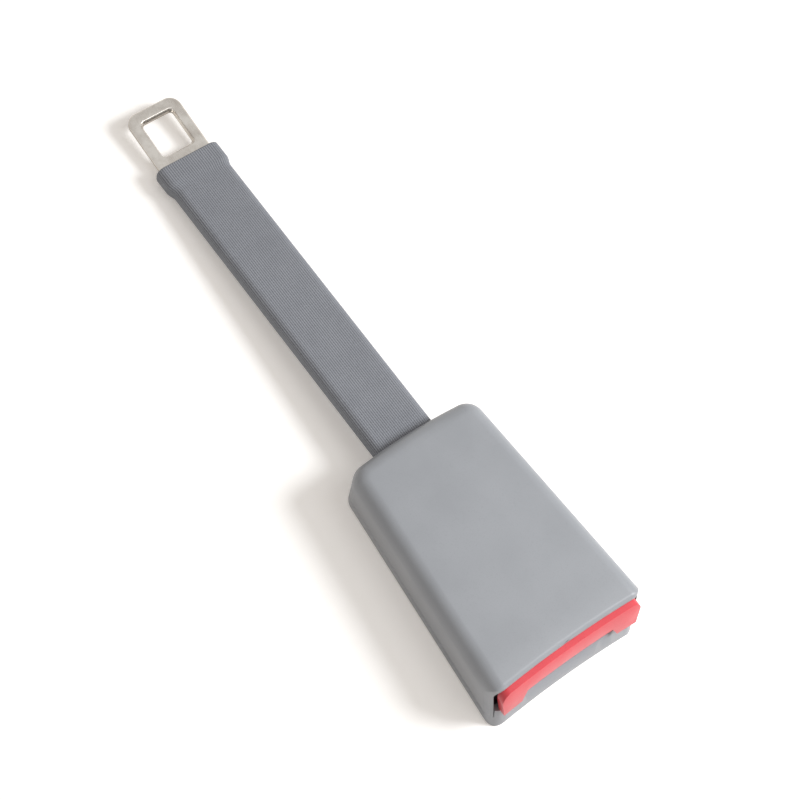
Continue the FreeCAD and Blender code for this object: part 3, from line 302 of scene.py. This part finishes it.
def behind_mouth(at):
    """How far a point lies behind the slanted, bowed mouth face."""
    rise = BOW_RADIUS - math.sqrt(BOW_RADIUS ** 2 - at.y ** 2)
    return MOUTH_DEPTH + rise - at.x * math.cos(MOUTH_SLANT) - at.z * math.sin(MOUTH_SLANT)


def half_width(at):
    return SIDE[0] + SIDE[1] * at.x + SIDE[2] * at.z


def set_back(depth, radius):
    """How far a rounding of a radius moves the mouth back at a depth in from the side."""
    depth = min(max(depth, 0.0), radius)
    return radius - math.sqrt(radius ** 2 - (radius - depth) ** 2)


def cut_depths(radius, cuts):
    """How deep the cuts through a rounding lie, at equal turns of it."""
    return [radius * (1 - math.cos(math.radians(90 / cuts * step)))
            for step in range(1, cuts + 1)]


def front_faces(work):
    return [face for face in work.faces
            if all(behind_mouth(vert.co / MM) < FRONT_REACH for vert in face.verts)]


def cut(work, faces, place, normal):
    """Divide faces along a plane."""
    parts = dict.fromkeys(faces)  # a set with an order
    for face in faces:
        parts.update(dict.fromkeys(face.edges))
        parts.update(dict.fromkeys(face.verts))
    bmesh.ops.bisect_plane(work, geom=list(parts), dist=CUT_NEAR, plane_co=Vector(place) * MM,
                           plane_no=Vector(normal))


def refine_mouth(work):
    """Divide the front of a cover finely across, and bring its mouth onto the true bow."""
    slanted = (math.cos(MOUTH_SLANT), 0, math.sin(MOUTH_SLANT))
    start = (MOUTH_DEPTH - CORNER - FIRST_CUT) / math.cos(MOUTH_SLANT)
    cut(work, work.faces[:], (start, 0, 0), slanted)
    for place in CUTS_ACROSS:
        cut(work, front_faces(work), (0, place, 0), (0, 1, 0))
    for vert in work.verts:
        at = vert.co / MM
        behind = behind_mouth(at)
        if abs(behind) < ON_MOUTH:
            at.x += behind / math.cos(MOUTH_SLANT)
            vert.co = at * MM
    work.normal_update()


def round_mouth_corners(work, low_edge):
    """Round the buckle's two front corners as seen from above, and its lower front edge."""
    for side in (-1, 1):
        lean = (-SIDE[1], side, -SIDE[2])
        for depth in cut_depths(CORNER, CORNER_CUTS):
            front = [face for face in front_faces(work)
                     if face.calc_center_median().y * side > 0]
            cut(work, front, (0, side * (SIDE[0] - depth), 0), lean)
    if low_edge:
        for depth in cut_depths(LOW_EDGE, LOW_EDGE_CUTS):
            cut(work, front_faces(work), (0, 0, depth), (0, 0, 1))
    for vert in work.verts:
        at = vert.co / MM
        behind = behind_mouth(at)
        depth = half_width(at) - abs(at.y)
        back = set_back(depth, CORNER)
        if low_edge:
            back = max(back, set_back(at.z, LOW_EDGE))
        if behind > PUSH_REACH or back <= behind:
            continue
        way = (back - behind) / math.cos(MOUTH_SLANT)
        on_top = min(max((at.z - TOP_FROM) / (COVER_HEIGHT - TOP_FROM), 0), 1)
        at.x -= way
        at.z -= way * TOP_SLOPE * on_top
        at.y = math.copysign(half_width(at) - depth, at.y)
        vert.co = at * MM
    bmesh.ops.remove_doubles(work, verts=work.verts, dist=JOIN_ROUNDED)
    bmesh.ops.dissolve_degenerate(work, edges=work.edges, dist=JOIN_ROUNDED)


def sharp_edges(work, test):
    """The sharp outward edges that pass a test on their faces' normals and their middle in mm."""
    found = []
    for edge in work.edges:
        if len(edge.link_faces) != 2 or edge.calc_face_angle(0) < SHARP_ANGLE:
            continue
        if edge.calc_face_angle_signed(0) < 0:
            continue
        one, two = (face.normal for face in edge.link_faces)
        if test(one, two, (edge.verts[0].co + edge.verts[1].co) / 2 / MM):
            found.append(edge)
    return found


def eased(node, material, body, roundings, mouth=False, low_edge=False):
    """A copy of a CAD node with rounded edges, standing for the node.

    Each rounding is a width in mm, a number of steps and a test for sharp_edges. A cover with
    a mouth also gets the mouth's corners rounded, and with low_edge its lower front edge."""
    mesh = frame["nodes"][node].data.copy()
    mesh.name = node + "_eased"
    work = bmesh.new()
    work.from_mesh(mesh)
    bmesh.ops.remove_doubles(work, verts=work.verts, dist=JOIN_SOLID)
    bmesh.ops.dissolve_limit(work, angle_limit=FLAT_ANGLE, verts=work.verts, edges=work.edges)
    if mouth:
        refine_mouth(work)
    for width, steps, test in roundings:
        edges = sharp_edges(work, test)
        bmesh.ops.bevel(work, geom=edges, offset=width * MM, offset_type="OFFSET",
                        segments=steps, profile=0.5, affect="EDGES",
                        clamp_overlap=width < CLAMPED_BELOW, miter_outer="ARC")
    if mouth:
        round_mouth_corners(work, low_edge)
    bmesh.ops.recalc_face_normals(work, faces=work.faces)
    work.to_mesh(mesh)
    work.free()
    piece = add_piece(node + "_eased", mesh, material, body)
    for face in mesh.polygons:
        face.use_smooth = True
    with bpy.context.temp_override(object=piece, active_object=piece, selected_objects=[piece],
                                   selected_editable_objects=[piece]):
        bpy.ops.object.shade_smooth_by_angle(angle=SMOOTH_ANGLE)
    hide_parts(node)


# Where the tests below look, in mm
FRONT_X = 40
REAR_X = -40
BUTTON_X = 46
TONGUE_X = -160
RIM_Z = 6.2


def in_mouth(normal):
    """Whether a face with this normal is one of the slanted mouth, which looks up a little."""
    return normal.x > 0.86 and normal.z > 0.1


def rim(one, two, middle):
    """The mouth's outer edge on the upper cover."""
    if in_mouth(one) == in_mouth(two) or middle.x < FRONT_X or middle.z < RIM_Z:
        return False
    other = two if in_mouth(one) else one
    return other.z > 0.3 or other.y * middle.y > 0


def inner_rim(one, two, middle):
    """What is left of the mouth's edges when the rim is done: the inner ones."""
    return in_mouth(one) != in_mouth(two) and middle.x > FRONT_X and middle.z > RIM_Z


def seam(one, two, middle):
    """The covers' outer edges where they meet."""
    if abs(middle.z - SEAM_HEIGHT) > 0.02:
        return False
    flat, other = (one, two) if abs(one.z) > 0.9 else (two, one)
    outward = other.y * middle.y > 0 or (middle.x < REAR_X and other.x < -0.3)
    return abs(flat.z) > 0.9 and abs(other.z) < 0.3 and outward


def button_front(one, two, middle):
    return middle.x > BUTTON_X


def tongue_end(one, two, middle):
    return middle.x < TONGUE_X


eased("upper_cover", COVER, "housing",
      [(1.4, 5, rim), (0.3, 2, inner_rim), (0.2, 1, seam)], mouth=True)
eased("lower_cover", COVER, "housing", [(0.2, 1, seam)], mouth=True,
      low_edge=True)
eased("release_button", BUTTON, "button", [(0.5, 3, button_front)])
eased("tongue_strip", NICKEL, "housing", [(0.2, 2, tongue_end)])


# Woven sleeve: a ribbed tube with a flared hem, turned in at the tongue's end. All in mm.

NEAR_END = Vector((-42.1, 0, 12.0))
FAR_END = Vector((-174.86, 0, 4.05))
BODY_HALF, BODY_RISE = 12.0, 3.75  # half its width and half its thickness
HEM_HALF, HEM_RISE = 13.0, 4.05
SLEEVE_CORNER = 3.0
LEAST_FLAT = 0.05  # half of what a narrow ring keeps between two corners
HEM_LENGTH = 7.0
FLARE = 4.0  # how long the sleeve takes to widen to the hem
FOLD = 0.9
FOLD_STEPS = 6
TURNED_IN = ((0.05, 0.5), (0.6, 0.9), (3.0, 1.0))  # back from the end, deeper than the fold
LENGTH_STEPS = 300
RIB_PITCH, RIB_DEPTH, RIB_COLUMNS = 0.8, 0.16, 5
RIB_FULLNESS = 0.6  # below 1 the ribs are broad and the valleys narrow
# Pick pitch and depth in mm, and the share of painted shade that darkens the picks' dips
PICK_PITCH, PICK_DEPTH, PICK_PAINTED_SHADE = 1.1, 0.02, 0.15
SINK = 0.02  # keeps the picks inside the solid's face


def section(half, rise, corner, count):
    """Points with their outward directions evenly round a rounded rectangle, and its length.

    They start at the middle of the top."""
    wide = half - corner
    tall = rise - corner
    arc = math.pi / 2 * corner
    # A straight run has its length, start, way and outward direction, and a corner has its
    # length, centre and first angle
    runs = [
        (wide, (0, rise), (1, 0), (0, 1)), (arc, (wide, tall), 90),
        (2 * tall, (half, tall), (0, -1), (1, 0)), (arc, (wide, -tall), 0),
        (2 * wide, (wide, -rise), (-1, 0), (0, -1)), (arc, (-wide, -tall), -90),
        (2 * tall, (-half, -tall), (0, 1), (-1, 0)), (arc, (-wide, tall), 180),
        (wide, (-wide, rise), (1, 0), (0, 1)),
    ]
    total = sum(run[0] for run in runs)
    points = []
    for step in range(count):
        far = total * step / count
        for length, start, *rest in runs:
            if far <= length:
                break
            far -= length
        if len(rest) == 1:
            angle = math.radians(rest[0]) - far / corner
            out = way = (math.cos(angle), math.sin(angle))
            far = corner
        else:
            way, out = rest
        points.append((start[0] + way[0] * far, start[1] + way[1] * far, *out))
    return points, total


def smooth_step(share):
    share = min(max(share, 0.0), 1.0)
    return share * share * (3 - 2 * share)


def sleeve_stations(run):
    """How far along each ring of the sleeve lies, and how much its outline is grown there."""
    stations = [(run * step / LENGTH_STEPS, 0.0)
                for step in range(int(LENGTH_STEPS * (1 - FOLD / run)))]
    for step in range(FOLD_STEPS + 1):
        turn = math.pi / 2 * step / FOLD_STEPS
        stations.append((run - FOLD + FOLD * math.sin(turn), -FOLD * (1 - math.cos(turn))))
    stations += [(run - back, -FOLD - deeper) for back, deeper in TURNED_IN]
    return stations


def woven_sleeve():
    _, round_length = section(BODY_HALF, BODY_RISE, SLEEVE_CORNER, 1)
    ribs = round(round_length / RIB_PITCH)
    around = ribs * RIB_COLUMNS
    run = math.hypot(FAR_END.x - NEAR_END.x, FAR_END.z - NEAR_END.z)
    axis = (FAR_END - NEAR_END) / run
    up = Vector((axis.z, 0, -axis.x))
    points_mm, painted_shade_heights = [], []
    for far, grown in sleeve_stations(run):
        share = smooth_step((far - (run - HEM_LENGTH - FLARE)) / FLARE)
        half = BODY_HALF + (HEM_HALF - BODY_HALF) * share + grown
        rise = BODY_RISE + (HEM_RISE - BODY_RISE) * share + grown
        ring, _ = section(half, rise, min(SLEEVE_CORNER, rise - LEAST_FLAT), around)
        for index, (y, z, out_y, out_z) in enumerate(ring):
            rib = 0.5 + 0.5 * math.cos(index / around * ribs * 2 * math.pi)
            rib = rib ** RIB_FULLNESS
            odd = math.floor(index / RIB_COLUMNS) % 2
            pick = math.cos(2 * math.pi * far / PICK_PITCH + odd * math.pi)
            depth = (rib - 1.0) * RIB_DEPTH + PICK_DEPTH * pick * rib - SINK
            place = NEAR_END + axis * far + up * (z + out_z * depth)
            place.y = y + out_y * depth
            points_mm.append(place)
            # The rib height, lowered at the picks' dips, is stored to set the painted shade
            # between ribs and picks.
            painted_shade_heights.append(rib * (1 - PICK_PAINTED_SHADE + PICK_PAINTED_SHADE * pick))
    faces = []
    for ring in range(0, len(points_mm) - around, around):
        for step in range(around):
            after = (step + 1) % around
            faces.append((ring + step, ring + after, ring + around + after,
                          ring + around + step))
    mesh = bpy.data.meshes.new("sleeve_woven")
    mesh.from_pydata([point * MM for point in points_mm], [], faces)
    height = mesh.attributes.new("rib", "FLOAT", "POINT")
    height.data.foreach_set("value", np.array(painted_shade_heights, np.float32))
    mesh.update()
    for face in mesh.polygons:
        face.use_smooth = True
    piece = add_piece("sleeve_woven", mesh, FABRIC, "housing")
    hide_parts("sleeve")


woven_sleeve()
place_camera()


# Floor, world and soft lamps

FLOOR_HALF = 9
FLOOR_LEVEL = -0.0003
GLOW_COLOUR = (1.0, 0.95, 0.9, 1)
GLOW = {"low": 0.45, "high": 1.6, "start": 0.29, "end": 1.0}  # metres away, strength there
FILL_COLOUR = (1.0, 0.93, 0.86, 1)
FILL_STRENGTH = 0.34
AIM = (-0.06, 0, 0.01)
# Name, place, diameter, power and colour
LAMPS = [
    ("window", (0.42, 0.72, 0.80), 0.42, 11.4, (0.96, 0.98, 1.0)),
    ("overhead", (0.35, 0.35, 1.4), 0.8, 2.9, (0.98, 0.99, 1.0)),
]


def camera_share(tree):
    """1 for what the camera, a reflection or a refraction sees, 0 for light that falls."""
    path = tree.nodes.new("ShaderNodeLightPath")
    total = path.outputs["Is Camera Ray"]
    for ray in ("Is Glossy Ray", "Is Transmission Ray"):
        join = tree.nodes.new("ShaderNodeMath")
        join.operation = "MAXIMUM"
        tree.links.new(total, join.inputs[0])
        tree.links.new(path.outputs[ray], join.inputs[1])
        total = join.outputs[0]
    return total


def floor():
    """White paper whose glow, seen but not lighting, rises to pure white far away."""
    mesh = bpy.data.meshes.new("floor")
    corners = [(x * FLOOR_HALF, y * FLOOR_HALF, FLOOR_LEVEL)
               for x, y in ((-1, -1), (1, -1), (1, 1), (-1, 1))]
    mesh.from_pydata(corners, [], [(0, 1, 2, 3)])
    piece = bpy.data.objects.new("floor", mesh)
    bpy.context.scene.collection.objects.link(piece)
    look = Look("floor_paper", roughness=0.9)
    grain = look.ramp(look.noise(size=0.002), 0.4, 0.6)
    look.colour(look.blend(grain, srgb(252, 251, 250), srgb(250, 249, 247)))
    apart = look.tree.nodes.new("ShaderNodeVectorMath")
    apart.operation = "LENGTH"
    look.tree.links.new(look.place, apart.inputs[0])
    glow = look.ramp(apart.outputs["Value"], **GLOW)
    look.shader.inputs["Emission Color"].default_value = GLOW_COLOUR
    look.feed(look.shader.inputs["Emission Strength"],
              look.math("MULTIPLY", camera_share(look.tree), glow))
    mesh.materials.append(look.material)


def background(tree, colour, strength):
    node = tree.nodes.new("ShaderNodeBackground")
    node.inputs["Color"].default_value = colour
    node.inputs["Strength"].default_value = strength
    return node.outputs[0]


def world():
    """A warm fill for what it lights, pure white for what is seen."""
    studio = bpy.data.worlds.new("studio")
    bpy.context.scene.world = studio
    studio.use_nodes = True
    tree = studio.node_tree
    tree.nodes.clear()
    mix = tree.nodes.new("ShaderNodeMixShader")
    tree.links.new(camera_share(tree), mix.inputs[0])
    tree.links.new(background(tree, FILL_COLOUR, FILL_STRENGTH), mix.inputs[1])
    tree.links.new(background(tree, (1, 1, 1, 1), 1.0), mix.inputs[2])
    out = tree.nodes.new("ShaderNodeOutputWorld")
    tree.links.new(mix.outputs[0], out.inputs[0])


def lamp(name, place, size, power, colour):
    data = bpy.data.lights.new(name, "AREA")
    data.shape = "DISK"
    data.size = size
    data.energy = power
    data.color = colour
    thing = bpy.data.objects.new(name, data)
    bpy.context.scene.collection.objects.link(thing)
    thing.location = place
    way = Vector(AIM) - Vector(place)
    thing.rotation_euler = way.to_track_quat("-Z", "Y").to_euler()


floor()
world()
for values in LAMPS:
    lamp(*values)

scene = bpy.context.scene
scene.view_settings.view_transform = "Standard"
bpy.context.view_layer.update()
